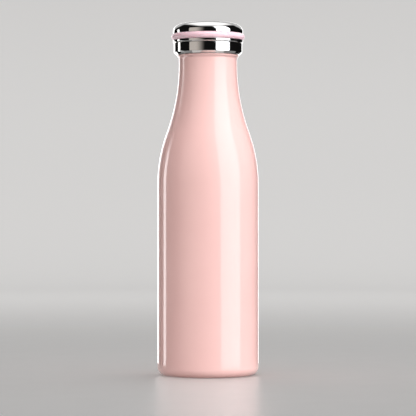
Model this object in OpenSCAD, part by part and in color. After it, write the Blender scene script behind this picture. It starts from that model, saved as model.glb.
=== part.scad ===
// Milk-bottle flask: a double-wall vacuum bottle with a screw-on mouthpiece and a domed
// steel screw cap. Millimetres, +Z up, origin at the centre of the ring the bottle stands on.

/* [Body] */
// Outside diameter of the barrel
body_d = 65; // [62:0.5:70]
// Height of the straight barrel, base rounding included
barrel_h = 122.5; // [90:0.5:140]
// Height of the shoulder, from the barrel to the straight neck
shoulder_h = 77; // [70:0.5:90]
// Share of the shoulder's sideways step taken by its lower, convex arc
shoulder_share = 0.435; // [0.38:0.005:0.5]
// Radius of the rounding round the base
base_round = 5.5; // [4.5:0.25:6]
// Sheet thickness of the outer shell
outer_wall = 0.5; // [0.4:0.05:0.6]

/* [Inner vessel] */
// Vacuum gap between the two barrels
vacuum_gap = 3; // [2.6:0.1:3.4]
// Sheet thickness of the inner vessel
inner_wall = 0.4; // [0.35:0.05:0.5]
// Height of the inner vessel's floor above the table
floor_h = 8; // [7.5:0.25:10]

/* [Neck] */
// Outside diameter of the straight neck
neck_d = 37.4; // [37.2:0.1:37.8]
// Height of the straight neck below its bead
neck_h = 3.5; // [3.5:0.1:8]
// Outside diameter of the bead under the collar
bead_d = 39.7; // [39.4:0.1:40]

/* [Mouthpiece] */
// Outside diameter of the polished collar
collar_d = 43.9; // [43.6:0.1:44.2]
// Outside diameter of the drinking lip
lip_d = 37; // [36.6:0.1:37.4]
// Pitch of the single-start thread between mouthpiece and neck
neck_pitch = 3; // [2.8:0.1:3]

/* [Cap] */
// Outside diameter of the steel cap shell
cap_d = 45; // [44.8:0.1:46]
// Outside diameter of the silicone grip ring
ring_d = 47.2; // [46.6:0.1:48]
// Lead of the two-start thread between cap and mouthpiece
cap_lead = 6; // [5.8:0.1:6]
// Sheet thickness of the cap shell
cap_wall = 0.5; // [0.4:0.05:0.5]

/* [Hidden] */

// Facets per turn of a lathed solid, and segments per turn of a thread ridge
turn_fn = 96;
thread_steps = 48;
// Straight steps along an arc in a profile
fine = 16;
coarse = 6;
// Gap left between pieces that bear on each other
bear = 0.05;

// Radii of the outer shell
body_r = body_d / 2;
cove_round = 1.6;                // hollow under the bead
bead_round = 0.65;               // shoulder of the bead
neck_r = neck_d / 2;
bead_r = bead_d / 2;
steel_r = neck_r - 1.2;          // threaded steel neck, inside the mouthpiece skirt
steel_bore_r = steel_r - outer_wall;
foot_r = body_r - base_round;    // outer edge of the ring the bottle stands on
foot_bore_r = foot_r - 1.5;      // its inner edge

// Heights, from the base up
neck_z = barrel_h + shoulder_h;  // top of the shoulder
cove_z = neck_z + neck_h;        // where the neck starts to flare into the bead
seat_z = cove_z + 2.7;           // top of the bead
collar_z = seat_z + 0.2;         // underside of the collar
rim_z = seat_z + 6.1;            // rim of the steel neck
web_z = rim_z + 1.1;             // underside of the mouthpiece web, over the neck gasket
shoulder_top_z = web_z + 1.3;    // seat of the stopper gasket, and the mouthpiece's shoulder
collar_top_z = seat_z + 7.4;
lip_z = shoulder_top_z + 7.8;    // drinking rim
cap_z = collar_top_z + 0.25;     // lower edge of the cap
step_z = shoulder_top_z + 1.1;   // step of the stopper, over its gasket
ceiling_z = lip_z + 0.6;         // underside of the cap liner's disc
liner_top_z = ceiling_z + 1.6;
nose_z = rim_z - 2.3;            // lowest point of the stopper
spring_z = cap_z + 7.6;          // where the cap shell starts to round over

// Inner vessel
inner_r = body_r - outer_wall - vacuum_gap;
inner_neck_r = steel_bore_r - 0.7;
inner_shoulder_z = barrel_h - 4.5;
inner_round = 6;
inner_weld_z = floor_h + inner_round;

// Mouthpiece and stopper
skirt_bore_r = steel_r + 1.3;
collar_r = collar_d / 2;
collar_wall = 0.45;
collar_bevel = 1.4;
skirt_r = collar_r - collar_wall - bear;
shoulder_r = collar_r - 1.35;
lip_r = lip_d / 2;
lip_bore_r = lip_r - 2.1;
mouth_r = 13.2;                  // drinking opening, inside the gasket seat
tube_r = 14.6;
tube_wall = 1.4;
nose_r = mouth_r - 0.6;
nose_wall = 1.2;
plug_z = nose_z + 1.7;           // joint between the stopper and its base disc
spigot_h = 1;                    // how far the disc reaches up inside the stopper
boss_h = 1.4;                    // how far the liner's boss reaches down inside it

// Cap
cap_r = cap_d / 2;
ring_r = ring_d / 2;
groove_r = cap_r - 1;
groove_z0 = cap_z + 2.1;
groove_z1 = cap_z + 5.75;
flank = 0.25;                    // slope of the groove's sides
cap_chamfer = 0.45;              // bevel round the cap's lower edge
dome_a = 8;                      // half-width and height of the dome's elliptical corner
dome_b = 5.3;
dome_end = 88;                   // angle at which the crown takes over from the corner
liner_r = groove_r - cap_wall - 0.15;
liner_bore_r = lip_r + 0.8;

// ---- profiles -------------------------------------------------------------------------

// Points along a circular or elliptical arc
function arc(c, rx, rz, a0, a1, n) =
    [for (i = [0:n]) let (a = a0 + (a1 - a0) * i / n) [c[0] + rx * cos(a), c[1] + rz * sin(a)]];

function reversed(list) = [for (i = [len(list) - 1:-1:0]) list[i]];

// S-curve of two tangent arcs, from radius r0 at height z0 up to radius r1 at height z1,
// moved inwards by inset along its normal
function s_curve(r0, z0, r1, z1, inset) =
    let (
        lean = 2 * atan((r0 - r1) / (z1 - z0)),
        total = (z1 - z0) / sin(lean),
        big = total * shoulder_share,
        small = total - big
    )
    concat(
        arc([r0 - big, z0], big - inset, big - inset, 0, lean, fine),
        reversed(arc([r1 + small, z1], small + inset, small + inset, 180, 180 + lean, fine - 1))
    );

// Half section of the cap's dome, from its spring line to the axis
function dome(inset) =
    let (
        a = dome_a - inset,
        b = dome_b - inset,
        centre = [cap_r - dome_a, spring_z],
        edge = [centre[0] + a * cos(dome_end), centre[1] + b * sin(dome_end)],
        slope = atan(b * cos(dome_end) / (a * sin(dome_end))),
        crown = edge[0] / sin(slope)
    )
    concat(
        arc(centre, a, b, 0, dome_end, fine),
        arc([0, edge[1] - crown * cos(slope)], crown, crown, 90 - slope, 90, coarse)
    );

module lathe(points) rotate_extrude($fn = turn_fn) polygon(points);

// Ring of rectangular section
module ring(r0, r1, z0, z1) lathe([[r0, z0], [r1, z0], [r1, z1], [r0, z1]]);

// One helical thread ridge on a wall of radius wall_r, with its crest at radius tip_r. The
// ridge stands outwards if tip_r is the larger, and inwards if not. z is the height of its
// centreline at angle 0, and it runs from angle a0 to a1, fading out over the last degrees.
module ridge(wall_r, tip_r, base_w, tip_w, lead, z, a0, a1) {
    bite = 0.3;
    fade = 24;
    n = ceil((a1 - a0) * thread_steps / 360);
    out = tip_r > wall_r ? 1 : -1;
    root_r = wall_r - out * bite;
    low_r = wall_r - out * bite / 2;
    points = [
        for (i = [0:n])
            let (
                a = a0 + (a1 - a0) * i / n,
                k = min(1, (a - a0) / fade, (a1 - a) / fade),
                r = low_r + (tip_r - low_r) * k,
                h = z + lead * a / 360
            )
            for (p = [[root_r, -base_w], [r, -tip_w], [r, tip_w], [root_r, base_w]])
                [p[0] * cos(a), p[0] * sin(a), h + p[1] / 2]
    ];
    sides = [
        for (i = [0:n - 1])
            for (j = [0:3])
                let (
                    p = 4 * i + j,
                    q = 4 * i + (j + 1) % 4
                )
                for (f = [[p, q, q + 4], [p, q + 4, p + 4]])
                    out > 0 ? f : reversed(f)
    ];
    ends = [[0, 1, 2], [0, 2, 3], [4 * n + 2, 4 * n + 1, 4 * n], [4 * n + 3, 4 * n + 2, 4 * n]];
    polyhedron(
        points = points,
        faces = concat(sides, out > 0 ? [for (f = ends) reversed(f)] : ends)
    );
}

// ---- bottle ---------------------------------------------------------------------------

// Outline of the outer shell, inset by the sheet thickness for its inner face
function shell_profile(inset) =
    concat(
        [[foot_bore_r, inset]],
        arc([foot_r, base_round], base_round - inset, base_round - inset, -90, 0, coarse + 2),
        s_curve(body_r, barrel_h, neck_r, neck_z, inset),
        arc([neck_r + cove_round, cove_z], cove_round + inset, cove_round + inset, 180, 125, coarse),
        arc(
            [bead_r - bead_round, seat_z - bead_round],
            bead_round - inset, bead_round - inset, 0, 90, coarse
        ),
        [[steel_r - inset, seat_z - inset], [steel_r - inset, rim_z]]
    );

// Thread between neck and mouthpiece, with play between its flanks
neck_thread_z = seat_z + 1.6;
neck_thread_a = 420;
neck_ridge_h = 1;
neck_ridge_w = [1.7, 1];         // at the root and at the crest

module outer_shell() color("lightpink") {
    union() {
        lathe(concat(shell_profile(0), reversed(shell_profile(outer_wall))));
        ridge(
            steel_r, steel_r + neck_ridge_h, neck_ridge_w[0], neck_ridge_w[1],
            neck_pitch, neck_thread_z, 0, neck_thread_a
        );
    }
}

// Pressed plate that closes the bottom, recessed inside the standing ring
module base_cover() color("silver") {
    t = 0.5;
    r = foot_r - 0.3;
    z = 2.2;
    rim = outer_wall + bear;
    top_r = r - 4;
    ledge_r = r - 2.4;
    lathe([
        [0, z], [top_r, z], [ledge_r, rim], [r, rim],
        [r, rim + t], [ledge_r + 0.2, rim + t], [top_r + 0.2, z + t], [0, z + t]
    ]);
}

// Welded plate that closes the vacuum space, with a raised cup round the evacuation hole
vacuum_base_z = 4.6;
vacuum_cup_r = 5;
vacuum_cup_h = 1.3;
vacuum_hole_r = 0.8;

module vacuum_base() color("silver") {
    t = 0.5;
    r = body_r - outer_wall - 0.1;
    z = vacuum_base_z;
    top_z = z + 5;
    bend = 2;
    lathe(concat(
        [
            [vacuum_hole_r, z + vacuum_cup_h], [vacuum_cup_r - 0.6, z + vacuum_cup_h],
            [vacuum_cup_r, z]
        ],
        arc([r - bend, z + bend], bend, bend, -90, 0, coarse),
        [[r, top_z], [r - t, top_z]],
        reversed(arc([r - bend, z + bend], bend - t, bend - t, -90, 0, coarse)),
        [
            [vacuum_cup_r + 0.3, z + t], [vacuum_cup_r - 0.3, z + vacuum_cup_h + t],
            [vacuum_hole_r, z + vacuum_cup_h + t]
        ]
    ));
}

// Glass bead fused over the evacuation hole
module vacuum_seal() color("peru") {
    r = 3;
    drop = 0.9;
    z = vacuum_base_z + vacuum_cup_h - bear;
    lathe(concat([[0, z]], arc([0, z], r, drop, 0, -90, coarse)));
}

// Gas-absorbing pill, spot-welded inside the vacuum space
module getter() color("dimgray") {
    r = 4;
    h = 1.6;
    x = 14;
    plate_top = vacuum_base_z + 0.5;
    translate([x, 0, plate_top + bear]) cylinder(r = r, h = h, $fn = turn_fn);
}

function vessel_profile(inset) =
    concat(
        [[inner_r - inset, inner_weld_z]],
        s_curve(inner_r, inner_shoulder_z, inner_neck_r, neck_z, inset)
    );

module inner_vessel() color("gainsboro") {
    lip = 0.5;
    lathe(concat(
        vessel_profile(0),
        [
            [inner_neck_r, rim_z - lip], [steel_bore_r - bear, rim_z - lip],
            [steel_bore_r - bear, rim_z],
            [inner_neck_r + 0.1, rim_z], [inner_neck_r - inner_wall, rim_z - lip]
        ],
        reversed(vessel_profile(inner_wall))
    ));
}

module inner_base() color("gainsboro") {
    c = [inner_r - inner_round, inner_weld_z];
    inside = inner_round - inner_wall;
    lathe(concat(
        [[0, floor_h]],
        arc(c, inner_round, inner_round, -90, 0, coarse + 2),
        reversed(arc(c, inside, inside, -90, 0, coarse + 2)),
        [[0, floor_h + inner_wall]]
    ));
}

// Copper radiation shield wrapped round the inner barrel
module foil_wrap() color("chocolate") {
    t = 0.1;
    margin = 2;
    ring(inner_r + bear, inner_r + bear + t, inner_weld_z + margin, inner_shoulder_z - margin);
}

// ---- mouthpiece -----------------------------------------------------------------------

module neck_gasket() color("white") {
    ring(inner_neck_r - inner_wall, skirt_bore_r - 0.2, rim_z + bear, web_z - bear);
}

// Two-start thread between cap and mouthpiece
cap_thread_z = step_z + 0.9;
cap_thread_a = 300;
cap_ridge_h = 1.4;
cap_ridge_w = [1.6, 0.9];
cap_pitch = cap_lead / 2;

module mouthpiece() color("ivory") {
    foot_z = collar_z + collar_wall + bear;
    foot_bevel = 1.25;
    shelf_z = collar_top_z - collar_wall - bear;
    round = 1;                   // rounding of the drinking rim
    edge = 0.4;
    union() {
        lathe(concat(
            [
                [skirt_bore_r, foot_z], [skirt_r - foot_bevel, foot_z], [skirt_r, foot_z + foot_bevel],
                [skirt_r, shelf_z], [shoulder_r, shelf_z]
            ],
            arc([shoulder_r - edge, shoulder_top_z - edge], edge, edge, 0, 90, coarse),
            [[lip_r, shoulder_top_z]],
            arc([lip_r - round, lip_z - round], round, round, 0, 90, coarse),
            arc([lip_bore_r + round, lip_z - round], round, round, 90, 180, coarse),
            [
                [lip_bore_r, shoulder_top_z], [mouth_r, shoulder_top_z],
                [mouth_r, web_z], [skirt_bore_r, web_z]
            ]
        ));
        // Neck thread: half a pitch above the steel one
        ridge(
            skirt_bore_r, skirt_bore_r - neck_ridge_h, neck_ridge_w[0], neck_ridge_w[1],
            neck_pitch, neck_thread_z + neck_pitch / 2, -60, 240
        );
        // Cap thread: two starts
        for (start = [0, 180])
            rotate([0, 0, start])
                ridge(
                    lip_bore_r, lip_bore_r - cap_ridge_h, cap_ridge_w[0], cap_ridge_w[1],
                    cap_lead, cap_thread_z + cap_pitch / 2, -60, 150
                );
    }
}

module collar() color("silver") {
    t = collar_wall;
    b = collar_bevel;
    r = collar_r;
    hem_r = bead_r - 0.6;
    top_r = shoulder_r + bear;
    edge = 0.2;
    bend = 0.2;
    lathe([
        [hem_r, collar_z], [r - b, collar_z], [r, collar_z + b],
        [r, collar_top_z - edge], [r - edge, collar_top_z], [top_r, collar_top_z],
        [top_r, collar_top_z - t], [r - t, collar_top_z - t],
        [r - t, collar_z + b + bend], [r - b - bend, collar_z + t], [hem_r, collar_z + t]
    ]);
}

// ---- cap ------------------------------------------------------------------------------

module stopper_gasket() color("white") {
    ring(nose_r + bear, tube_r - bear, shoulder_top_z + bear, step_z - bear);
}

module stopper() color("ivory") {
    tube_bore_r = tube_r - tube_wall;
    nose_bore_r = nose_r - nose_wall;
    union() {
        lathe([
            [nose_bore_r, plug_z], [nose_r, plug_z], [nose_r, step_z], [tube_r, step_z],
            [tube_r, ceiling_z], [tube_bore_r, ceiling_z],
            [tube_bore_r, step_z + tube_wall], [nose_bore_r, step_z + tube_wall]
        ]);
        for (start = [0, 180])
            rotate([0, 0, start])
                ridge(
                    tube_r, tube_r + cap_ridge_h - bear, cap_ridge_w[0], cap_ridge_w[1],
                    cap_lead, cap_thread_z, 0, cap_thread_a
                );
    }
}

// Disc that closes the stopper from below, with a spigot inside it
module stopper_base() color("ivory") {
    spigot_r = nose_r - nose_wall - bear;
    edge = 0.8;
    lathe(concat(
        [[0, nose_z]],
        arc([nose_r - edge, nose_z + edge], edge, edge, -90, 0, coarse),
        [
            [nose_r, plug_z - bear], [spigot_r, plug_z - bear],
            [spigot_r, plug_z + spigot_h], [0, plug_z + spigot_h]
        ]
    ));
}

module foam_plug() color("whitesmoke") {
    wide_r = tube_r - tube_wall - 0.1;
    slim_r = nose_r - nose_wall - 0.1;
    foot_z = plug_z + spigot_h + bear;
    waist_z = step_z + tube_wall + bear;
    top_z = ceiling_z - boss_h - 0.1;
    lathe([
        [0, foot_z], [slim_r, foot_z], [slim_r, waist_z],
        [wide_r, waist_z], [wide_r, top_z], [0, top_z]
    ]);
}

// Bracket inside the steel shell, which the stopper is welded to
module cap_liner() color("ivory") {
    boss_r = tube_r - tube_wall - bear;
    foot_z = cap_z + cap_wall + bear;
    foot_out_r = cap_r - cap_wall - 0.15;
    foot_in_r = shoulder_r + 0.4;
    z = ceiling_z + bear;
    boss_wall = 1.4;
    foot_h = 0.8;
    // The slanted corner follows the dome
    corner_w = 1.8;
    corner_h = 2.2;
    lathe([
        [0, z], [boss_r - boss_wall, z], [boss_r - boss_wall, z - boss_h],
        [boss_r, z - boss_h], [boss_r, z], [liner_bore_r, z],
        [liner_bore_r, foot_z + foot_h], [foot_in_r, foot_z + foot_h], [foot_in_r, foot_z],
        [foot_out_r, foot_z], [foot_out_r, foot_z + foot_h - 0.1], [liner_r, foot_z + foot_h + 0.1],
        [liner_r, liner_top_z - corner_h], [liner_r - corner_w, liner_top_z], [0, liner_top_z]
    ]);
}

// Double-sided foam disc between the liner and the dome
module bond_pad() color("gray") {
    r = 11;
    h = 1.45;
    translate([0, 0, liner_top_z + bear]) cylinder(r = r, h = h, $fn = turn_fn);
}

// Half section of the cap shell: turned-in lower edge, rolled groove and dome
function cap_profile(inset) =
    let (
        bevel = cap_chamfer + inset * 0.4,
        bend = inset * 0.8
    )
    concat(
        [
            [shoulder_r + 0.3, cap_z + inset],
            [cap_r - bevel, cap_z + inset],
            [cap_r - inset, cap_z + bevel],
            [cap_r - inset, groove_z0 - flank - bend],
            [groove_r - inset, groove_z0 - bend],
            [groove_r - inset, groove_z1 + bend],
            [cap_r - inset, groove_z1 + flank + bend]
        ],
        dome(inset)
    );

module cap_shell() color("silver") {
    lathe(concat(cap_profile(0), reversed(cap_profile(cap_wall))));
}

// Silicone ring in the rolled groove of the cap shell
module grip_ring() color("pink") {
    z0 = groove_z0 + bear;
    z1 = groove_z1 - bear;
    half = (z1 - z0) / 2 + flank - bear;
    bulge = ring_r - cap_r;
    r = (half * half + bulge * bulge) / (2 * bulge);
    sweep = asin(half / r);
    lathe(concat(
        [[groove_r + bear, z0]],
        arc([ring_r - r, (z0 + z1) / 2], r, r, -sweep, sweep, fine),
        [[groove_r + bear, z1]]
    ));
}

// ---- nodes ----------------------------------------------------------------------------

outer_shell();
base_cover();
vacuum_base();
vacuum_seal();
getter();
inner_vessel();
inner_base();
foil_wrap();
neck_gasket();
mouthpiece();
collar();
stopper_gasket();
stopper();
stopper_base();
foam_plug();
cap_liner();
bond_pad();
cap_shell();
grip_ring();
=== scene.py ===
import math

import bpy
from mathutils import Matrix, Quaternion, Vector


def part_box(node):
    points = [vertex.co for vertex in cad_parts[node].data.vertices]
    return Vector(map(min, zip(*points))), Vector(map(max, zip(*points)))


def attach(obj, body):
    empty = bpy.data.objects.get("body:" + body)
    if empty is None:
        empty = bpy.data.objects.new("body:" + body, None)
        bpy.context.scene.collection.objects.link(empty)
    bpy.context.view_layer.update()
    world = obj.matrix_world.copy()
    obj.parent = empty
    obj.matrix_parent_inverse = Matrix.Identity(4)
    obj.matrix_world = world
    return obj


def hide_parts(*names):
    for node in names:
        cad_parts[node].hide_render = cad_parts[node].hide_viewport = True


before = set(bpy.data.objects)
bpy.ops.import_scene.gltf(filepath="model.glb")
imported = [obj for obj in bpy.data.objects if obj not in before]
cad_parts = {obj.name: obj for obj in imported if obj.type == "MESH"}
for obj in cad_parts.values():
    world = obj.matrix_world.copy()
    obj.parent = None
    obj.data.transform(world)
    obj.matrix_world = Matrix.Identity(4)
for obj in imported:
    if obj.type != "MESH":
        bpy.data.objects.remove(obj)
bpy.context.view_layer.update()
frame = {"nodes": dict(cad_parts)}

MM = 0.001

# ---- sizes, in millimetres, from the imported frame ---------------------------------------


def reach(node):
    """Outside radius, underside and top of a CAD node, in millimetres."""
    low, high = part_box(node)
    return high.x / MM, low.z / MM, high.z / MM


BODY_R, _, RIM_Z = reach("outer_shell")
COVER_R, COVER_Z, COVER_TOP = reach("base_cover")
VESSEL_R, VESSEL_Z, _ = reach("inner_vessel")
_, FLOOR_Z, _ = reach("inner_base")
NECK_GASKET_R, NECK_GASKET_Z, NECK_GASKET_TOP = reach("neck_gasket")
COLLAR_R, COLLAR_Z, COLLAR_TOP = reach("collar")
SKIRT_R, SKIRT_Z, LIP_Z = reach("mouthpiece")
SEAT_GASKET_R, SEAT_GASKET_Z, SEAT_GASKET_TOP = reach("stopper_gasket")
_, PLUG_Z, STOPPER_TOP = reach("stopper")
NOSE_R, NOSE_Z, SPIGOT_TOP = reach("stopper_base")
LINER_FOOT_R, LINER_Z, LINER_TOP = reach("cap_liner")
CAP_R, CAP_Z, _ = reach("cap_shell")
RING_R, RING_Z, RING_TOP = reach("grip_ring")

# Sheet thicknesses, and the gap between pieces that bear on each other
WALL = 0.5
INNER_WALL = 0.4
COLLAR_WALL = 0.45
BEAR = 0.05

# Shapes of the bottle that the boxes don't give
BARREL_H = 122.5
SHOULDER_TOP = 199.5
SHOULDER_SHARE = 0.435
BASE_ROUND = 5.5
FOOT_W = 1.5
NECK_R = 18.7
STEEL_R = 17.5
BEAD_R = 19.85
BEAD_ROUND = 0.65
COVE_ROUND = 1.6
COVE_Z = SHOULDER_TOP + 3.5
SEAT_Z = COVE_Z + 2.7
VESSEL_SHOULDER_Z = BARREL_H - 4.5
VESSEL_NECK_R = 16.3
VESSEL_LIP_H = 0.5

# Shapes of the spout that the boxes don't give
SKIRT_BORE_R = 18.8
WEB_Z = NECK_GASKET_TOP + BEAR
LIP_SEAT_Z = SEAT_GASKET_Z - BEAR
SHOULDER_R = 20.6
LIP_R = 18.5
LIP_BORE_R = 16.4
MOUTH_R = 13.2

# Shapes of the cap that the boxes don't give
STEP_Z = SEAT_GASKET_TOP + BEAR
TUBE_R = 14.6
GROOVE_R = CAP_R - 1
GROOVE_Z = (CAP_Z + 2.1, CAP_Z + 5.75)
SPRING_Z = CAP_Z + 7.6
GROOVE_FLANK = 0.25

# Threads: lead, and height of the outer ridge's centreline at angle 0
NECK_LEAD = 3
NECK_THREAD_Z = SEAT_Z + 1.6
CAP_LEAD = 6
CAP_THREAD_Z = STEP_Z + 0.9

# ---- mesh building ----------------------------------------------------------------------


def arc(centre, radii, start, end, steps):
    """Points of an elliptical arc in the plane of radius and height; angles in degrees."""
    points = []
    for i in range(steps + 1):
        a = math.radians(start + (end - start) * i / steps)
        points.append((centre[0] + radii[0] * math.cos(a), centre[1] + radii[1] * math.sin(a)))
    return points


def steps_up(r, z0, z1, step):
    """Points straight up or down a cylinder wall."""
    count = max(1, round(abs(z1 - z0) / step))
    return [(r, z0 + (z1 - z0) * i / count) for i in range(count + 1)]


def s_curve(low, high, inset, steps=40):
    """Two tangent arcs from a wide radius up to a narrow one, moved inwards along the normal."""
    (r0, z0), (r1, z1) = low, high
    lean = 2 * math.degrees(math.atan((r0 - r1) / (z1 - z0)))
    total = (z1 - z0) / math.sin(math.radians(lean))
    big = total * SHOULDER_SHARE
    small = total - big
    convex = arc((r0 - big, z0), (big - inset, big - inset), 0, lean, steps)
    concave = arc((r1 + small, z1), (small + inset, small + inset), 180 + lean, 180, steps)
    return convex + concave[1:]


def rounded(corners, radius, steps=5):
    """The closed outline through the corners, each rounded with the radius or as much as fits.
    A corner given with a third value takes that radius."""
    points = []
    count = len(corners)
    for i, corner in enumerate(corners):
        here = Vector(corner[:2])
        before = Vector(corners[i - 1][:2]) - here
        after = Vector(corners[(i + 1) % count][:2]) - here
        r = corner[2] if len(corner) > 2 else radius
        if r <= 0 or before.length < 1e-9 or after.length < 1e-9:
            points.append(tuple(here))
            continue
        angle = before.angle(after)
        if angle > math.radians(175):
            points.append(tuple(here))
            continue
        cut = min(r / math.tan(angle / 2), 0.45 * min(before.length, after.length))
        start = here + before.normalized() * cut
        end = here + after.normalized() * cut
        for k in range(steps + 1):
            t = k / steps
            points.append(tuple(start.lerp(here, t).lerp(here.lerp(end, t), t)))
    return points


def lathe(name, outline, material, turns=192, relief=None):
    """Turns a closed outline, in millimetres, round the bottle's axis. A point on the axis becomes
    a pole. relief(radius, height, degrees) moves a point outwards, for threads and weld ripples."""
    verts, rings = [], []
    for r, z in outline:
        if r < 1e-6:
            rings.append([len(verts)] * turns)
            verts.append((0.0, 0.0, z * MM))
            continue
        rings.append(list(range(len(verts), len(verts) + turns)))
        for k in range(turns):
            a = 2 * math.pi * k / turns
            reach_r = (r + (relief(r, z, 360 * k / turns) if relief else 0)) * MM
            verts.append((reach_r * math.cos(a), reach_r * math.sin(a), z * MM))
    faces = []
    for i, ring in enumerate(rings):
        above = rings[(i + 1) % len(rings)]
        if ring[0] == ring[1] and above[0] == above[1]:
            continue
        for k in range(turns):
            j = (k + 1) % turns
            corners = [ring[k], ring[j], above[j], above[k]]
            faces.append(list(dict.fromkeys(corners)))
    mesh = bpy.data.meshes.new(name)
    mesh.from_pydata(verts, [], faces)
    if signed_area(outline) < 0:
        mesh.flip_normals()
    mesh.shade_smooth()
    mesh.materials.append(material)
    piece = bpy.data.objects.new(name, mesh)
    bpy.context.scene.collection.objects.link(piece)
    shading = piece.modifiers.new("even_normals", "WEIGHTED_NORMAL")
    shading.weight = 80
    return piece


def signed_area(outline):
    """Positive where the outline runs anticlockwise, which leaves a lathe's faces outwards."""
    ends = zip(outline, outline[1:] + outline[:1])
    return sum(a[0] * b[1] - b[0] * a[1] for a, b in ends) / 2


def smoothstep(t):
    """Eases from 0 to 1, and holds outside them."""
    t = min(1.0, max(0.0, t))
    return t * t * (3 - 2 * t)


def thread(lead, z0, start, end, height, root_w, crest_w, starts=1, fade=24):
    """Relief of a right-hand thread whose centreline is at z0 at angle 0."""

    def relief(angle, z):
        best = 0.0
        for s in range(starts):
            at = (angle - 360 * s / starts - start) % 360 + start
            while at <= end:
                off = abs(z - z0 - lead * at / 360)
                flank = smoothstep((root_w / 2 - off) / ((root_w - crest_w) / 2))
                run_out = smoothstep(min(at - start, end - at) / fade)
                best = max(best, height * flank * run_out)
                at += 360
        return best

    return relief


def settle(piece, body, slot, *nodes):
    """Rides on the body and stands for the CAD nodes, which it hides. The slot is not used."""
    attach(piece, body)
    if nodes:
        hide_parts(*nodes)
    return piece


# ---- materials --------------------------------------------------------------------------


class Shader:
    """A Principled material and short calls that add its procedural detail."""

    def __init__(self, name, **sockets):
        self.material = bpy.data.materials.new(name)
        self.material.use_nodes = True
        self.tree = self.material.node_tree
        self.bsdf = self.tree.nodes["Principled BSDF"]
        for socket, value in sockets.items():
            self.bsdf.inputs[socket.replace("_", " ")].default_value = value
        self.object_space = self.tree.nodes.new("ShaderNodeTexCoord").outputs["Object"]

    def link(self, source, target):
        self.tree.links.new(source, target)

    def math(self, operation, a, b=0.0, c=0.0):
        node = self.tree.nodes.new("ShaderNodeMath")
        node.operation = operation
        for socket, value in zip(node.inputs, (a, b, c)):
            if isinstance(value, (int, float)):
                socket.default_value = value
            else:
                self.link(value, socket)
        return node.outputs[0]

    def combine(self, x, y, z):
        node = self.tree.nodes.new("ShaderNodeCombineXYZ")
        for socket, value in zip(node.inputs, (x, y, z)):
            if isinstance(value, (int, float)):
                socket.default_value = value
            else:
                self.link(value, socket)
        return node.outputs[0]

    def cylindrical(self):
        """Height, radius and angle of a point, round the bottle's axis."""
        split = self.tree.nodes.new("ShaderNodeSeparateXYZ")
        self.link(self.object_space, split.inputs[0])
        x, y, z = split.outputs
        flat = self.math("SQRT", self.math("ADD", self.math("MULTIPLY", x, x), self.math("MULTIPLY", y, y)))
        return z, flat, self.math("ARCTAN2", y, x)

    def turned(self, width, length):
        """Coordinates drawn out round the axis, for marks that a lathe or a polishing wheel
        leaves: width across a mark in metres, length in radians."""
        z, r, angle = self.cylindrical()
        return self.combine(
            self.math("DIVIDE", z, width), self.math("DIVIDE", r, width), self.math("DIVIDE", angle, length)
        )

    def noise(self, scale, detail=2.0, roughness=0.5, at=None):
        """Smooth noise, with this many waves to the metre."""
        node = self.tree.nodes.new("ShaderNodeTexNoise")
        self.link(at or self.object_space, node.inputs["Vector"])
        node.inputs["Scale"].default_value = scale
        node.inputs["Detail"].default_value = detail
        node.inputs["Roughness"].default_value = roughness
        return node.outputs["Fac"]

    def cells(self, scale, feature="F1"):
        """Distance to the nearest of random points, with this many cells to the metre."""
        node = self.tree.nodes.new("ShaderNodeTexVoronoi")
        node.feature = feature
        self.link(self.object_space, node.inputs["Vector"])
        node.inputs["Scale"].default_value = scale
        return node.outputs["Distance"]

    def spread(self, value, low, high, to_low, to_high, smooth=False):
        """Maps low to high on to_low to to_high, and holds at the ends."""
        node = self.tree.nodes.new("ShaderNodeMapRange")
        node.interpolation_type = "SMOOTHSTEP" if smooth else "LINEAR"
        self.link(value, node.inputs["Value"])
        for name, number in (
            ("From Min", low), ("From Max", high), ("To Min", to_low), ("To Max", to_high)
        ):
            node.inputs[name].default_value = number
        return node.outputs["Result"]

    def vary(self, noise, to_low, to_high):
        """Spreads the middle of a noise, where most of it lies, over a range."""
        return self.spread(noise, 0.3, 0.7, to_low, to_high)

    def blend(self, factor, a, b):
        """Colour a where the factor is 0, and b where it is 1."""
        node = self.tree.nodes.new("ShaderNodeMix")
        node.data_type = "RGBA"
        self.link(factor, node.inputs["Factor"])
        for socket, value in ((node.inputs[6], a), (node.inputs[7], b)):
            if isinstance(value, tuple):
                socket.default_value = (*value, 1.0)
            else:
                self.link(value, socket)
        return node.outputs[2]

    def colour(self, source):
        self.link(source, self.bsdf.inputs["Base Color"])

    def roughness(self, source):
        self.link(source, self.bsdf.inputs["Roughness"])

    def bump(self, *layers):
        """Layers of (height 0 to 1, depth in metres), each on top of the one before."""
        normal = None
        for height, depth in layers:
            node = self.tree.nodes.new("ShaderNodeBump")
            node.inputs["Strength"].default_value = 1.0
            node.inputs["Distance"].default_value = depth
            self.link(height, node.inputs["Height"])
            if normal:
                self.link(normal, node.inputs["Normal"])
            normal = node.outputs["Normal"]
        self.link(normal, self.bsdf.inputs["Normal"])


def enamel():
    """Glossy powder coat: slightly uneven pale pink under a smooth clear coat, worn on the foot."""
    s = Shader(
        "pink_enamel", Specular_IOR_Level=0.15, Coat_Weight=1.0, Coat_Roughness=0.015, Coat_IOR=1.5
    )
    pale = (0.895, 0.57, 0.54)
    deep = (0.875, 0.55, 0.52)
    bare = (0.5, 0.48, 0.46)
    tone = s.blend(s.vary(s.noise(28, 3), 0, 1), deep, pale)
    z, _, _ = s.cylindrical()
    foot = s.spread(z, 0.0001, 0.0006, 1, 0)
    worn = s.math("MULTIPLY", foot, s.spread(s.noise(700, 4, 0.7), 0.5, 0.6, 0, 1))
    s.colour(s.blend(worn, tone, bare))
    s.roughness(s.vary(s.noise(220, 4, 0.6), 0.3, 0.42))
    s.bump((s.noise(420, 2), 0.000004), (s.noise(5200, 2), 0.0000006))
    return s.material


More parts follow.
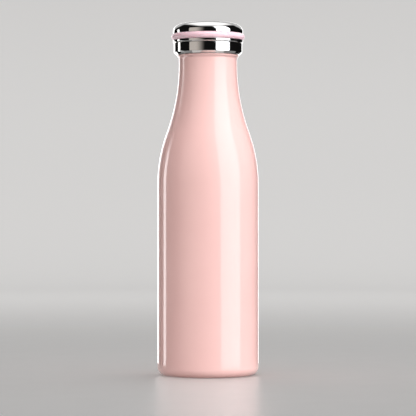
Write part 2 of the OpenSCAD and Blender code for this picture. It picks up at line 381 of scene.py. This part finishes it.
def polished_steel():
    """Mirror-polished steel: fine marks round the axis, with faint smudges in the shine."""
    s = Shader("polished_steel", Metallic=1.0)
    tint = s.blend(s.noise(60, 2), (0.80, 0.79, 0.775), (0.86, 0.85, 0.84))
    s.colour(tint)
    marks = s.noise(1, 2, 0.6, at=s.turned(0.00018, 0.5))
    smudge = s.spread(s.noise(90, 5, 0.65), 0.45, 0.75, 0.0, 0.06)
    s.roughness(s.math("ADD", s.vary(marks, 0.035, 0.075), smudge))
    s.bump((marks, 0.0000011))
    return s.material


def satin_steel():
    """Electropolished steel sheet, with the drawing marks of the press still in it."""
    s = Shader("satin_steel", Metallic=1.0)
    marks = s.noise(1, 3, 0.6, at=s.turned(0.0003, 0.35))
    s.colour(s.blend(marks, (0.50, 0.49, 0.475), (0.64, 0.63, 0.61)))
    haze = s.spread(s.noise(140, 4), 0.4, 0.8, 0, 0.1)
    s.roughness(s.math("ADD", s.vary(marks, 0.2, 0.34), haze))
    s.bump((marks, 0.000006), (s.noise(2600, 3), 0.000002))
    return s.material


def pink_silicone():
    """Satin silicone, with a faint moulded grain and dust in its shine."""
    s = Shader("pink_silicone", IOR=1.41, Subsurface_Weight=0.15, Subsurface_Scale=0.002)
    s.bsdf.inputs["Subsurface Radius"].default_value = (1.0, 0.5, 0.5)
    tone = s.spread(s.noise(60, 3), 0.35, 0.65, 0, 1)
    s.colour(s.blend(tone, (0.90, 0.595, 0.67), (0.94, 0.64, 0.715)))
    s.roughness(s.vary(s.noise(900, 4, 0.6), 0.24, 0.4))
    s.bump((s.noise(3200, 3), 0.000005), (s.noise(300, 2), 0.000008))
    return s.material


def moulded_plastic(name, light, dark, rough):
    """Off-white polypropylene: milky, with a fine spark-eroded texture and flow marks."""
    s = Shader(name, IOR=1.49, Subsurface_Weight=0.2, Subsurface_Scale=0.002)
    s.bsdf.inputs["Subsurface Radius"].default_value = (1.0, 0.9, 0.75)
    s.colour(s.blend(s.vary(s.noise(45, 3), 0, 1), dark, light))
    s.roughness(s.vary(s.noise(1500, 3, 0.6), rough - 0.07, rough + 0.08))
    s.bump((s.noise(4200, 3, 0.6), 0.000009), (s.noise(1, 2, at=s.turned(0.0006, 1.2)), 0.000004))
    return s.material


def clear_silicone():
    """Milky translucent silicone of the two gaskets."""
    s = Shader(
        "clear_silicone", IOR=1.41, Transmission_Weight=0.35, Subsurface_Weight=0.3, Subsurface_Scale=0.002
    )
    s.colour(s.blend(s.noise(160, 3), (0.78, 0.79, 0.78), (0.88, 0.88, 0.86)))
    s.roughness(s.vary(s.noise(1200, 4), 0.3, 0.5))
    s.bump((s.noise(3500, 3), 0.000008))
    return s.material


def copper_foil():
    """Thin copper foil with the creases of being wrapped by hand."""
    s = Shader("copper_foil", Metallic=1.0)
    creases = s.cells(160, "DISTANCE_TO_EDGE")
    s.colour(s.blend(s.noise(70, 3), (0.78, 0.36, 0.22), (0.93, 0.52, 0.34)))
    s.roughness(s.vary(s.noise(300, 4), 0.18, 0.36))
    s.bump((s.spread(creases, 0, 0.2, 0, 1), 0.00005), (s.noise(600, 3), 0.00002))
    return s.material


def solder_glass():
    """Brown fused glass with small bubbles."""
    s = Shader("solder_glass", IOR=1.52, Transmission_Weight=0.4, Coat_Weight=0.3)
    s.colour(s.blend(s.noise(900, 3), (0.16, 0.07, 0.03), (0.34, 0.18, 0.08)))
    s.roughness(s.vary(s.noise(1400, 2), 0.06, 0.2))
    s.bump((s.spread(s.cells(2600), 0, 0.5, 0, 1), 0.00003))
    return s.material


def pressed_powder():
    """Sintered metal grains of the getter pill."""
    s = Shader("pressed_powder", Metallic=0.6)
    grains = s.cells(4200)
    s.colour(s.blend(s.spread(grains, 0, 0.6, 0, 1), (0.22, 0.22, 0.23), (0.07, 0.07, 0.075)))
    s.roughness(s.vary(s.noise(3000, 2), 0.5, 0.75))
    s.bump((grains, 0.00006))
    return s.material


def closed_cell_foam():
    """White foam with its small cells open on the cut faces, with painted shade darkening the pit of each
    cell.
    """
    s = Shader("closed_cell_foam")
    cells = s.cells(1900, "SMOOTH_F1")
    # The colour darkens towards the low pit of each cell: painted shade, not a colour of the foam itself.
    s.colour(s.blend(s.spread(cells, 0, 0.6, 0, 1), (0.62, 0.62, 0.61), (0.86, 0.86, 0.85)))
    s.roughness(s.vary(s.noise(1200, 2), 0.75, 0.9))
    s.bump((cells, 0.00012))
    return s.material


# ---- bottle -----------------------------------------------------------------------------


def shell_outline(inset):
    """Outer face of the shell, from the turned-in foot to the top of the bead."""
    foot_r = BODY_R - BASE_ROUND
    foot = BASE_ROUND - inset
    cove = COVE_ROUND + inset
    bead = BEAD_ROUND - inset
    return (
        [(foot_r - FOOT_W, inset)]
        + arc((foot_r, BASE_ROUND), (foot, foot), -90, 0, 20)
        + steps_up(BODY_R - inset, BASE_ROUND, BARREL_H, 6)[1:-1]
        + s_curve((BODY_R, BARREL_H), (NECK_R, SHOULDER_TOP), inset)
        + steps_up(NECK_R - inset, SHOULDER_TOP, COVE_Z, 1)[1:-1]
        + arc((NECK_R + COVE_ROUND, COVE_Z), (cove, cove), 180, 125, 12)
        + arc((BEAD_R - BEAD_ROUND, SEAT_Z - BEAD_ROUND), (bead, bead), -15, 90, 12)
        + [(STEEL_R + 0.02, SEAT_Z - inset)]
    )


def painted_shell(paint):
    """Painted sheet, from the foot to the bead, open at both ends."""
    outline = shell_outline(0) + list(reversed(shell_outline(WALL)))
    return settle(lathe("painted_shell", outline, paint, turns=256), "bottle", "enamel", "outer_shell")


def steel_neck(steel):
    """Bare threaded neck above the bead, its thread rolled into the sheet."""
    relief = thread(NECK_LEAD, NECK_THREAD_Z, 0, 420, height=1.0, root_w=1.7, crest_w=0.8)
    tuck = 0.4
    edge = 0.15
    outline = (
        [(STEEL_R - WALL, SEAT_Z - tuck), (STEEL_R, SEAT_Z - tuck)]
        + steps_up(STEEL_R, SEAT_Z - 0.1, RIM_Z - edge, 0.1)
        + arc((STEEL_R - edge, RIM_Z - edge), (edge, edge), 0, 90, 5)[1:]
        + [(STEEL_R - WALL, RIM_Z)]
    )

    def rolled(r, z, angle):
        return relief(angle, z) if r > STEEL_R - 0.01 else 0

    piece = lathe("steel_neck", outline, steel, turns=256, relief=rolled)
    return settle(piece, "bottle", "satin_steel", "outer_shell")


def rim_weld(steel):
    """Weld between the two walls at the rim, with the ripples of its puddle."""
    half_w, half_h = 0.3, 0.2
    proud = 0.03
    ripples = 150
    centre = (STEEL_R - WALL - proud, RIM_Z - half_h + proud)

    def ripple(r, z, angle):
        return proud * math.cos(math.radians(angle) * ripples) * (z > centre[1])

    outline = arc(centre, (half_w, half_h), 0, 337.5, 15)
    piece = lathe("rim_weld", outline, steel, turns=6 * ripples, relief=ripple)
    return settle(piece, "bottle", "satin_steel")


def inner_vessel(steel):
    """Inner wall, necked in at the shoulder and rolled out into a lip at the rim."""

    def face(inset):
        low = (VESSEL_R, VESSEL_SHOULDER_Z)
        high = (VESSEL_NECK_R, SHOULDER_TOP)
        barrel = steps_up(VESSEL_R - inset, VESSEL_Z, VESSEL_SHOULDER_Z, 6)
        return barrel[:-1] + s_curve(low, high, inset)

    lip_z = RIM_Z - VESSEL_LIP_H
    outer_r = STEEL_R - WALL - 0.08
    rolled_lip = [
        (VESSEL_NECK_R, lip_z - 0.3), (VESSEL_NECK_R + 0.15, lip_z - 0.05),
        (outer_r - 0.1, lip_z), (outer_r, lip_z + 0.1), (outer_r, RIM_Z - 0.02),
        (VESSEL_NECK_R + 0.25, RIM_Z - 0.02), (VESSEL_NECK_R - 0.15, RIM_Z - 0.14),
        (VESSEL_NECK_R - INNER_WALL + 0.04, RIM_Z - 0.4), (VESSEL_NECK_R - INNER_WALL, RIM_Z - 0.7),
    ]
    outline = face(0) + rolled_lip + list(reversed(face(INNER_WALL)))
    return settle(lathe("vessel_wall", outline, steel), "bottle", "satin_steel", "inner_vessel")


def inner_base(steel):
    """Floor of the vessel: a shallow pressed dome inside the rounded corner."""
    corner = VESSEL_Z - FLOOR_Z
    centre = (VESSEL_R - corner, VESSEL_Z)
    inside = corner - INNER_WALL
    dome_r = 16
    underside = [(r, FLOOR_Z) for r in (0, dome_r / 2, dome_r, dome_r + 4)]
    top = [
        (dome_r + 4, FLOOR_Z + INNER_WALL), (dome_r + 1, FLOOR_Z + INNER_WALL),
        (dome_r, FLOOR_Z + 0.75), (dome_r / 2, FLOOR_Z + 0.85), (0, FLOOR_Z + 0.9),
    ]
    outline = (
        underside
        + arc(centre, (corner, corner), -90, 0, 16)
        + arc(centre, (inside, inside), 0, -90, 16)
        + top
    )
    return settle(lathe("vessel_floor", outline, steel), "bottle", "satin_steel", "inner_base")


def base_cover(steel):
    """Pressed plate under the bottle, with two stamped rings and a centre boss."""
    z = COVER_TOP - WALL

    def stamped(lift):
        level = z + lift
        wide_ring, slim_ring = level - 0.45, level - 0.4
        return [
            (0, level), (4, level, 0.6), (4.7, wide_ring, 0.6), (8.6, wide_ring, 0.6),
            (9.3, level, 0.6), (16.2, level, 0.6), (16.8, slim_ring, 0.5), (18.4, slim_ring, 0.5),
            (19, level, 0.6), (COVER_R - 4, level, 0.9),
            (COVER_R - 2.3, COVER_Z + lift, 0.7), (COVER_R, COVER_Z + lift, 0.05 if lift else 0.1),
        ]

    outline = rounded(stamped(0) + list(reversed(stamped(WALL))), 0.3)
    outline = [(0, z)] + [p for p in outline if p[0] > 0.01] + [(0, z + WALL)]
    return settle(lathe("pressed_base", outline, steel), "bottle", "satin_steel", "base_cover")


# ---- spout ------------------------------------------------------------------------------


def neck_gasket(silicone):
    """Flat seal with a shallow groove round its top face."""
    inner_r = VESSEL_NECK_R - INNER_WALL
    outline = rounded(
        [
            (inner_r, NECK_GASKET_Z, 0.3), (NECK_GASKET_R, NECK_GASKET_Z, 0.3),
            (NECK_GASKET_R, NECK_GASKET_TOP, 0.2), (inner_r + 1.8, NECK_GASKET_TOP, 0.1),
            (inner_r + 1.6, NECK_GASKET_TOP - 0.2, 0.1), (inner_r + 0.8, NECK_GASKET_TOP - 0.2, 0.1),
            (inner_r + 0.6, NECK_GASKET_TOP, 0.1), (inner_r, NECK_GASKET_TOP, 0.2),
        ],
        0.2,
    )
    piece = lathe("neck_seal_ring", outline, silicone)
    return settle(piece, "spout_seal", "clear_silicone", "neck_gasket")


def spout(plastic):
    """Drinking spout: a threaded skirt for the neck, a web, and the lip with the cap's thread."""
    shelf_z = COLLAR_TOP - COLLAR_WALL - BEAR
    neck_relief = thread(
        NECK_LEAD, NECK_THREAD_Z + NECK_LEAD / 2, -60, 240, height=1.0, root_w=1.6, crest_w=0.8
    )
    cap_relief = thread(
        CAP_LEAD, CAP_THREAD_Z + CAP_LEAD / 4, -60, 150, height=1.4, root_w=1.5, crest_w=0.8, starts=2
    )
    rim = 1.0
    bevel = 1.25
    edge = 0.4
    fillet = 0.35
    hole_edge = 0.2
    outline = (
        [(SKIRT_BORE_R + 0.2, SKIRT_Z)]
        + rounded([(SKIRT_R - bevel, SKIRT_Z), (SKIRT_R, SKIRT_Z + bevel), (SKIRT_R, shelf_z)], 0.15)[1:]
        + [(SHOULDER_R + 0.25, shelf_z), (SHOULDER_R, shelf_z + 0.25)]
        + arc((SHOULDER_R - edge, LIP_SEAT_Z - edge), (edge, edge), 0, 90, 8)
        + arc((LIP_R + fillet, LIP_SEAT_Z + fillet), (fillet, fillet), 270, 180, 6)
        + steps_up(LIP_R, LIP_SEAT_Z + 1, LIP_Z - rim - 0.5, 1)
        + arc((LIP_R - rim, LIP_Z - rim), (rim, rim), 0, 90, 12)
        + arc((LIP_BORE_R + rim, LIP_Z - rim), (rim, rim), 90, 180, 12)
        + steps_up(LIP_BORE_R, LIP_Z - rim - 0.1, LIP_SEAT_Z + 0.5, 0.1)
        + arc((LIP_BORE_R - fillet, LIP_SEAT_Z + fillet), (fillet, fillet), 0, -90, 6)
        + arc((MOUTH_R + hole_edge, LIP_SEAT_Z - hole_edge), (hole_edge, hole_edge), 90, 180, 5)
        + arc((MOUTH_R + hole_edge, WEB_Z + hole_edge), (hole_edge, hole_edge), 180, 270, 5)
        + [(SKIRT_BORE_R - 0.3, WEB_Z)]
        + steps_up(SKIRT_BORE_R, WEB_Z - 0.3, SKIRT_Z + 0.2, 0.1)
    )

    def threads(r, z, angle):
        if abs(r - LIP_BORE_R) < 0.01 and z > LIP_SEAT_Z:
            return -cap_relief(angle, z)
        if abs(r - SKIRT_BORE_R) < 0.01 and z < WEB_Z:
            return -neck_relief(angle, z)
        return 0

    piece = lathe("drinking_spout", outline, plastic, turns=240, relief=threads)
    return settle(piece, "spout", "spout_plastic", "mouthpiece")


def collar(steel):
    """Polished band with a bevelled lower edge, turned in over the spout at the top."""
    bevel = 1.4
    bend = 0.2
    fine = 0.06
    foot_in_r = BEAD_R - 0.6
    top_in_r = SHOULDER_R + 0.06
    in_r = COLLAR_R - COLLAR_WALL
    outline = rounded(
        [
            (foot_in_r, COLLAR_Z), (COLLAR_R - bevel, COLLAR_Z, 0.25), (COLLAR_R, COLLAR_Z + bevel, 0.3),
            (COLLAR_R, COLLAR_TOP, 0.22), (top_in_r, COLLAR_TOP, fine),
            (top_in_r, COLLAR_TOP - COLLAR_WALL, fine), (in_r, COLLAR_TOP - COLLAR_WALL, fine),
            (in_r, COLLAR_Z + bevel + bend, 0.1),
            (COLLAR_R - bevel - bend, COLLAR_Z + COLLAR_WALL, fine),
            (foot_in_r, COLLAR_Z + COLLAR_WALL, fine),
        ],
        0.08,
        steps=8,
    )
    return settle(lathe("collar_band", outline, steel, turns=256), "spout", "polished_steel", "collar")


# ---- cap --------------------------------------------------------------------------------


def stopper_gasket(silicone):
    """Soft-edged flat ring under the stopper's step."""
    inner_r = NOSE_R + BEAR
    outline = rounded(
        [
            (inner_r, SEAT_GASKET_Z), (SEAT_GASKET_R, SEAT_GASKET_Z),
            (SEAT_GASKET_R, SEAT_GASKET_TOP), (inner_r, SEAT_GASKET_TOP),
        ],
        0.4,
        steps=8,
    )
    piece = lathe("stopper_seal_ring", outline, silicone)
    return settle(piece, "cap_seal", "clear_silicone", "stopper_gasket")


def stopper(plastic):
    """Hollow plug with the cap's two-start thread round it."""
    floor_top = STEP_Z + 1.4
    tube_bore_r = TUBE_R - 1.4
    nose_bore_r = NOSE_R - 1.2
    relief = thread(CAP_LEAD, CAP_THREAD_Z, 0, 300, height=1.35, root_w=1.5, crest_w=0.8, starts=2)
    outline = (
        [(nose_bore_r, PLUG_Z), (NOSE_R - 0.1, PLUG_Z), (NOSE_R, PLUG_Z + 0.1)]
        + steps_up(NOSE_R, PLUG_Z + 0.6, STEP_Z - 0.1, 1)
        + [(NOSE_R + 0.1, STEP_Z), (TUBE_R - 0.2, STEP_Z)]
        + steps_up(TUBE_R, STEP_Z + 0.1, STOPPER_TOP, 0.1)
        + [(tube_bore_r, STOPPER_TOP), (tube_bore_r, floor_top), (nose_bore_r, floor_top)]
    )

    def threads(r, z, angle):
        return relief(angle, z) if abs(r - TUBE_R) < 0.01 else 0

    piece = lathe("threaded_stopper", outline, plastic, turns=240, relief=threads)
    return settle(piece, "cap", "cap_plastic", "stopper")


def stopper_base(plastic):
    """Closing disc of the plug, with a recessed panel and the gate mark at its centre."""
    spigot_r = NOSE_R - 1.25
    seam_z = PLUG_Z - BEAR
    panel_r = 8.0
    edge = 0.9
    outline = (
        [(0, NOSE_Z + 0.28), (0.7, NOSE_Z + 0.3), (1.0, NOSE_Z + 0.52), (panel_r, NOSE_Z + 0.5)]
        + arc((panel_r, NOSE_Z + 0.25), (0.35, 0.25), 90, 0, 5)
        + arc((panel_r + 0.8, NOSE_Z + 0.45), (0.45, 0.45), 180, 270, 6)
        + [(10.6, NOSE_Z)]
        + arc((NOSE_R - edge, NOSE_Z + edge), (edge, edge), -90, 0, 12)
        + [
            (NOSE_R, seam_z - 0.1), (NOSE_R - 0.1, seam_z), (spigot_r, seam_z),
            (spigot_r, SPIGOT_TOP), (0, SPIGOT_TOP),
        ]
    )
    return settle(lathe("stopper_disc", outline, plastic), "cap", "cap_plastic", "stopper_base")


def cap_liner(plastic):
    """Bracket inside the shell: a skirt, a ceiling with a soft bead over the lip, and a boss."""
    boss_r = TUBE_R - 1.45
    boss_in_r = boss_r - 1.4
    ceiling = STOPPER_TOP + BEAR
    boss_z = ceiling - 1.4
    bore_r = LIP_R + 0.8
    foot_in_r = SHOULDER_R + 0.4
    skirt_r = GROOVE_R - WALL - 0.15
    soft = 0.3
    outline = (
        [(0, ceiling), (boss_in_r, ceiling), (boss_in_r, boss_z), (boss_r, boss_z)]
        + [(boss_r, ceiling), (LIP_R - 1.35, ceiling)]
        + arc((LIP_R - 1.0, ceiling), (soft, soft), 180, 360, 8)
        + [(LIP_R - 0.6, ceiling)]
        + arc((bore_r - soft, ceiling - soft), (soft, soft), 90, 0, 5)
        + [(bore_r, LINER_Z + 1.2)]
        + arc((bore_r + soft, LINER_Z + 1.1), (soft, soft), 180, 270, 5)
        + [(foot_in_r, LINER_Z + 0.8), (foot_in_r, LINER_Z + 0.1), (foot_in_r + 0.1, LINER_Z)]
        + [(LINER_FOOT_R - 0.1, LINER_Z), (LINER_FOOT_R, LINER_Z + 0.1), (LINER_FOOT_R, LINER_Z + 0.7)]
        + [(skirt_r, LINER_Z + 0.9), (skirt_r, LINER_TOP - 2.2), (skirt_r - 1.8, LINER_TOP)]
        + [(0, LINER_TOP)]
    )
    return settle(lathe("cap_bracket", outline, plastic), "cap", "cap_plastic", "cap_liner")


def dome(inset):
    """Top of the cap: an elliptical corner that runs into a nearly flat crown."""
    half_w, half_h, end = 8, 5.3, 88
    a, b = half_w - inset, half_h - inset
    centre = (CAP_R - half_w, SPRING_Z)
    corner = arc(centre, (a, b), 0, end, 36)
    edge_r, edge_z = corner[-1]
    slope = math.atan(b * math.cos(math.radians(end)) / (a * math.sin(math.radians(end))))
    crown = edge_r / math.sin(slope)
    peak = arc((0, edge_z - crown * math.cos(slope)), (crown, crown), 90 - math.degrees(slope), 90, 12)
    return corner + [(r, z) for r, z in peak[1:-1]] + [(0, peak[-1][1])]


def cap_shell(steel):
    """One steel sheet: turned-in edge, lower bead, rolled groove and dome."""
    low, high = GROOVE_Z

    def face(inset):
        soft = 0.22 if inset else 0.3
        bend = inset * 0.8
        bevel = 0.45 + inset * 0.4
        wall_r, groove_r = CAP_R - inset, GROOVE_R - inset
        corners = [
            (SHOULDER_R + 0.3, CAP_Z + inset, 0.0), (CAP_R - bevel, CAP_Z + inset, 0.15),
            (wall_r, CAP_Z + bevel, 0.2), (wall_r, low - GROOVE_FLANK - bend, soft),
            (groove_r, low - bend, soft), (groove_r, high + bend, soft),
            (wall_r, high + GROOVE_FLANK + bend, soft), (wall_r, SPRING_Z - 0.2, 0.0),
        ]
        return rounded(corners, soft, steps=8) + dome(inset)

    outline = face(0) + list(reversed(face(WALL)))
    return settle(lathe("cap_dome", outline, steel, turns=256), "cap", "polished_steel", "cap_shell")


def grip_ring(silicone):
    """Bulged ring, with the thin flash line of its two mould halves round the middle."""
    half = (RING_TOP - RING_Z) / 2
    mid = (RING_TOP + RING_Z) / 2
    bulge = RING_R - CAP_R
    r = (half * half + bulge * bulge) / (2 * bulge)
    sweep_a = math.degrees(math.asin(half / r))
    flash, flash_half_w = 0.03, 0.05
    face = arc((RING_R - r, mid), (r, r), -sweep_a, sweep_a, 40)
    face = [(p if abs(z - mid) < flash_half_w else p - flash, z) for p, z in face]
    back = GROOVE_R + BEAR
    outline = [(back, RING_Z + 0.2)] + face + [(back, RING_TOP - 0.2)]
    return settle(lathe("grip_band", outline, silicone, turns=256), "cap", "pink_silicone", "grip_ring")


# ---- studio -----------------------------------------------------------------------------


def studio_floor():
    """Matte pale sweep with a touch of sheen. It glows more towards its far parts, which the
    lamps hardly reach, and is clear from behind, so that the foot shows from below."""
    s = Shader("studio_floor", IOR=1.3)
    pale = (0.72, 0.71, 0.70)
    grey = (0.70, 0.69, 0.68)
    near, far = 0.25, 1.5
    near_glow, far_glow = 0.2, 0.6
    s.colour(s.blend(s.noise(3, 2), grey, pale))
    s.roughness(s.vary(s.noise(40, 3), 0.3, 0.34))
    s.bump((s.noise(900, 2), 0.000004))
    _, r, _ = s.cylindrical()
    s.bsdf.inputs["Emission Color"].default_value = (*pale, 1)
    glow = s.spread(r, near, far, near_glow, far_glow, smooth=True)
    s.link(glow, s.bsdf.inputs["Emission Strength"])
    mix = s.tree.nodes.new("ShaderNodeMixShader")
    geometry = s.tree.nodes.new("ShaderNodeNewGeometry")
    clear = s.tree.nodes.new("ShaderNodeBsdfTransparent")
    s.link(geometry.outputs["Backfacing"], mix.inputs[0])
    s.link(s.bsdf.outputs[0], mix.inputs[1])
    s.link(clear.outputs[0], mix.inputs[2])
    s.link(mix.outputs[0], s.tree.nodes["Material Output"].inputs["Surface"])
    return s.material


def sweep(name, outline, material):
    """A part of the studio floor, as a sheet turned round the bottle's axis, in metres."""
    turns = 128
    verts, faces = [], []
    for r, z in outline:
        for k in range(turns):
            a = 2 * math.pi * k / turns
            verts.append((r * math.cos(a), r * math.sin(a), z))
    for i in range(len(outline) - 1):
        for k in range(turns):
            j = (k + 1) % turns
            faces.append((i * turns + k, (i + 1) * turns + k, (i + 1) * turns + j, i * turns + j))
    mesh = bpy.data.meshes.new(name)
    mesh.from_pydata(verts, [], faces)
    mesh.shade_smooth()
    mesh.materials.append(material)
    piece = bpy.data.objects.new(name, mesh)
    bpy.context.scene.collection.objects.link(piece)
    return piece


def floor():
    """A flat floor that curves up into a wall all round. Only the part right under the bottle
    shows in its reflections, and only the part near the bottle lights it, so the polished
    steel reflects the dark of the studio between its lights."""
    material = studio_floor()
    under_r, near_r, flat_r = 0.12, 0.4, 1.7
    curve = 0.8
    wall_h = 3.0
    disc = sweep("floor", [(0.0005, 0.0), (0.05, 0.0), (under_r, 0.0)], material)
    apron = sweep("apron", [(under_r, 0.0), (near_r, 0.0)], material)
    rise = arc((flat_r, curve), (curve, curve), -90, 0, 12)
    backdrop = sweep("backdrop", [(near_r, 0.0)] + rise + [(flat_r + curve, wall_h)], material)
    apron.visible_glossy = False
    backdrop.visible_glossy = False
    backdrop.visible_diffuse = False
    for piece in (disc, apron, backdrop):
        piece.visible_shadow = False
    return disc, apron, backdrop


def softbox(name, azimuth, elevation, distance, size, radiance, tint=(1, 1, 1), roll=0, height=0.12):
    """A rectangular light that faces a point at the height on the bottle's axis. Azimuth is
    measured from the camera to the viewer's right, in degrees, and roll turns it in its plane."""
    light = bpy.data.lights.new(name, "AREA")
    light.shape = "RECTANGLE"
    light.size, light.size_y = size
    light.color = tint
    light.energy = radiance * size[0] * size[1] * math.pi
    lamp = bpy.data.objects.new(name, light)
    bpy.context.scene.collection.objects.link(lamp)
    a, e = math.radians(azimuth), math.radians(elevation)
    away = Vector((math.sin(a) * math.cos(e), -math.cos(a) * math.cos(e), math.sin(e)))
    lamp.location = Vector((0, 0, height)) + away * distance
    facing = away.to_track_quat("Z", "Y") @ Quaternion((0, 0, 1), math.radians(roll))
    lamp.rotation_euler = facing.to_euler()
    lamp.visible_camera = False
    return lamp


def feather(lamp, left=0.0, right=0.0, low=0.0, high=0.0):
    """Fades a softbox towards its edges, over these shares of its width and height."""
    lamp.data.use_nodes = True
    tree = lamp.data.node_tree
    place = tree.nodes.new("ShaderNodeSeparateXYZ")
    tree.links.new(tree.nodes.new("ShaderNodeNewGeometry").outputs["Parametric"], place.inputs[0])
    level = None
    for axis, start, end in ((0, 0, left), (0, 1, 1 - right), (1, 0, low), (1, 1, 1 - high)):
        if start == end:
            continue
        ramp = tree.nodes.new("ShaderNodeMapRange")
        ramp.interpolation_type = "SMOOTHSTEP"
        tree.links.new(place.outputs[axis], ramp.inputs["Value"])
        ramp.inputs["From Min"].default_value = start
        ramp.inputs["From Max"].default_value = end
        if level:
            both = tree.nodes.new("ShaderNodeMath")
            both.operation = "MULTIPLY"
            tree.links.new(level, both.inputs[0])
            tree.links.new(ramp.outputs["Result"], both.inputs[1])
            level = both.outputs[0]
        else:
            level = ramp.outputs["Result"]
    tree.links.new(level, tree.nodes["Emission"].inputs["Strength"])


def aim(lamp, stage, state):
    """The lamp lights nothing but the floor and the backdrop, or everything but them."""
    receivers = bpy.data.collections.new(lamp.name + "_receivers")
    for piece in stage:
        receivers.objects.link(piece)
    lamp.light_linking.receiver_collection = receivers
    for member in receivers.collection_objects:
        member.light_linking.link_state = state


def lighting(stage):
    """A dark room, with softboxes for the reflections, fills for the even light on the bottle, and
    two lamps above for the cap and the floor."""
    world = bpy.data.worlds.new("studio")
    world.use_nodes = True
    background = world.node_tree.nodes["Background"]
    background.inputs["Color"].default_value = (0.006, 0.006, 0.006, 1)
    bpy.context.scene.world = world
    cool, warm = (0.94, 0.97, 1.0), (1.0, 0.91, 0.84)

    # The broad strip on the right, and the panel and narrow strip on the left
    key = softbox("key", 52, 8, 1.1, (1.0, 3.0), 2.6, cool, roll=6)
    feather(key, high=0.3)
    card = softbox("left_card", -37, 4, 1.1, (1.15, 1.3), 0.55, warm)
    feather(card, right=0.62)
    strip = softbox("left_strip", -111.8, 0, 0.35, (0.066, 0.42), 4.5, height=0.11)
    feather(strip, high=0.35)

    # The line of light down each side, the grey in the top of the cap, and the underside
    left_rim = softbox("rim_left", -164, 0, 1.2, (0.64, 0.8), 2.2)
    right_rim = softbox("rim_right", 169, 0, 1.2, (0.42, 0.8), 1.8)
    wall = softbox("back_wall", 180, 33, 1.3, (2.4, 1.0), 0.55)
    feather(wall, 0.2, 0.2, 0.3, 0.3)
    for lamp in (key, wall):
        lamp.visible_diffuse = False
    below = softbox("below", 180, -88, 0.6, (1.4, 1.4), 0.25)
    lamps = [key, card, strip, left_rim, right_rim, wall, below]

    fill_elevation, fill_distance = 30, 1.2
    for name, azimuth, size, radiance in (
        ("fill", 33, (1.6, 1.4), 3.5),
        ("side_fill", 105, (1.0, 1.4), 1.8),
        ("back_fill", 190, (1.4, 1.4), 1.6),
    ):
        fill = softbox(name, azimuth, fill_elevation, fill_distance, size, radiance)
        fill.visible_glossy = False
        lamps.append(fill)
    for lamp in lamps:
        aim(lamp, stage, "EXCLUDE")

    top = softbox("overhead", 180, 88, 1.1, (1.5, 2.2), 1.35)
    top.location.x += 0.08
    feather(top, 0.3, 0.25, 0.2, 0.5)
    ceiling = softbox("ceiling", 0, 90, 3.2, (4.8, 4.8), 0.8)
    aim(ceiling, stage, "INCLUDE")


def camera():
    """Level with the middle of the bottle, as far off as the picture's perspective asks."""
    distance, eye_z, target_z = 1.35, 0.1, 0.1074
    data = bpy.data.cameras.new("camera")
    data.sensor_width = 36
    data.lens = 181.6
    eye = bpy.data.objects.new("camera", data)
    bpy.context.scene.collection.objects.link(eye)
    eye.location = (0, -distance, eye_z)
    gaze = Vector((0, 0, target_z)) - eye.location
    eye.rotation_euler = gaze.to_track_quat("-Z", "Y").to_euler()
    bpy.context.scene.camera = eye


# ---- assembly ---------------------------------------------------------------------------


def carry_over(nodes, materials):
    """Sealed-in CAD nodes keep their shape and get their finish."""
    for node, material in materials.items():
        mesh = nodes[node].data
        mesh.materials.clear()
        mesh.materials.append(material)
        nodes[node].modifiers.new("even_normals", "WEIGHTED_NORMAL").keep_sharp = True


def build():
    """Makes every piece, from the painted shell to the ring on the cap."""
    paint, chrome, satin = enamel(), polished_steel(), satin_steel()
    seal = clear_silicone()
    spout_plastic = moulded_plastic("spout_plastic", (0.70, 0.67, 0.61), (0.66, 0.63, 0.57), 0.34)
    cap_plastic = moulded_plastic("cap_plastic", (0.69, 0.67, 0.63), (0.64, 0.62, 0.58), 0.46)
    painted_shell(paint)
    steel_neck(satin)
    rim_weld(satin)
    inner_vessel(satin)
    inner_base(satin)
    base_cover(satin)
    neck_gasket(seal)
    spout(spout_plastic)
    collar(chrome)
    stopper_gasket(seal)
    stopper(cap_plastic)
    stopper_base(cap_plastic)
    cap_liner(cap_plastic)
    cap_shell(chrome)
    grip_ring(pink_silicone())
    foam = closed_cell_foam()
    carry_over(
        frame["nodes"],
        {
            "vacuum_base": satin,
            "vacuum_seal": solder_glass(),
            "getter": pressed_powder(),
            "foil_wrap": copper_foil(),
            "foam_plug": foam,
            "bond_pad": foam,
        },
    )


build()
lighting(floor())
camera()
bpy.context.scene.view_settings.view_transform = "Standard"
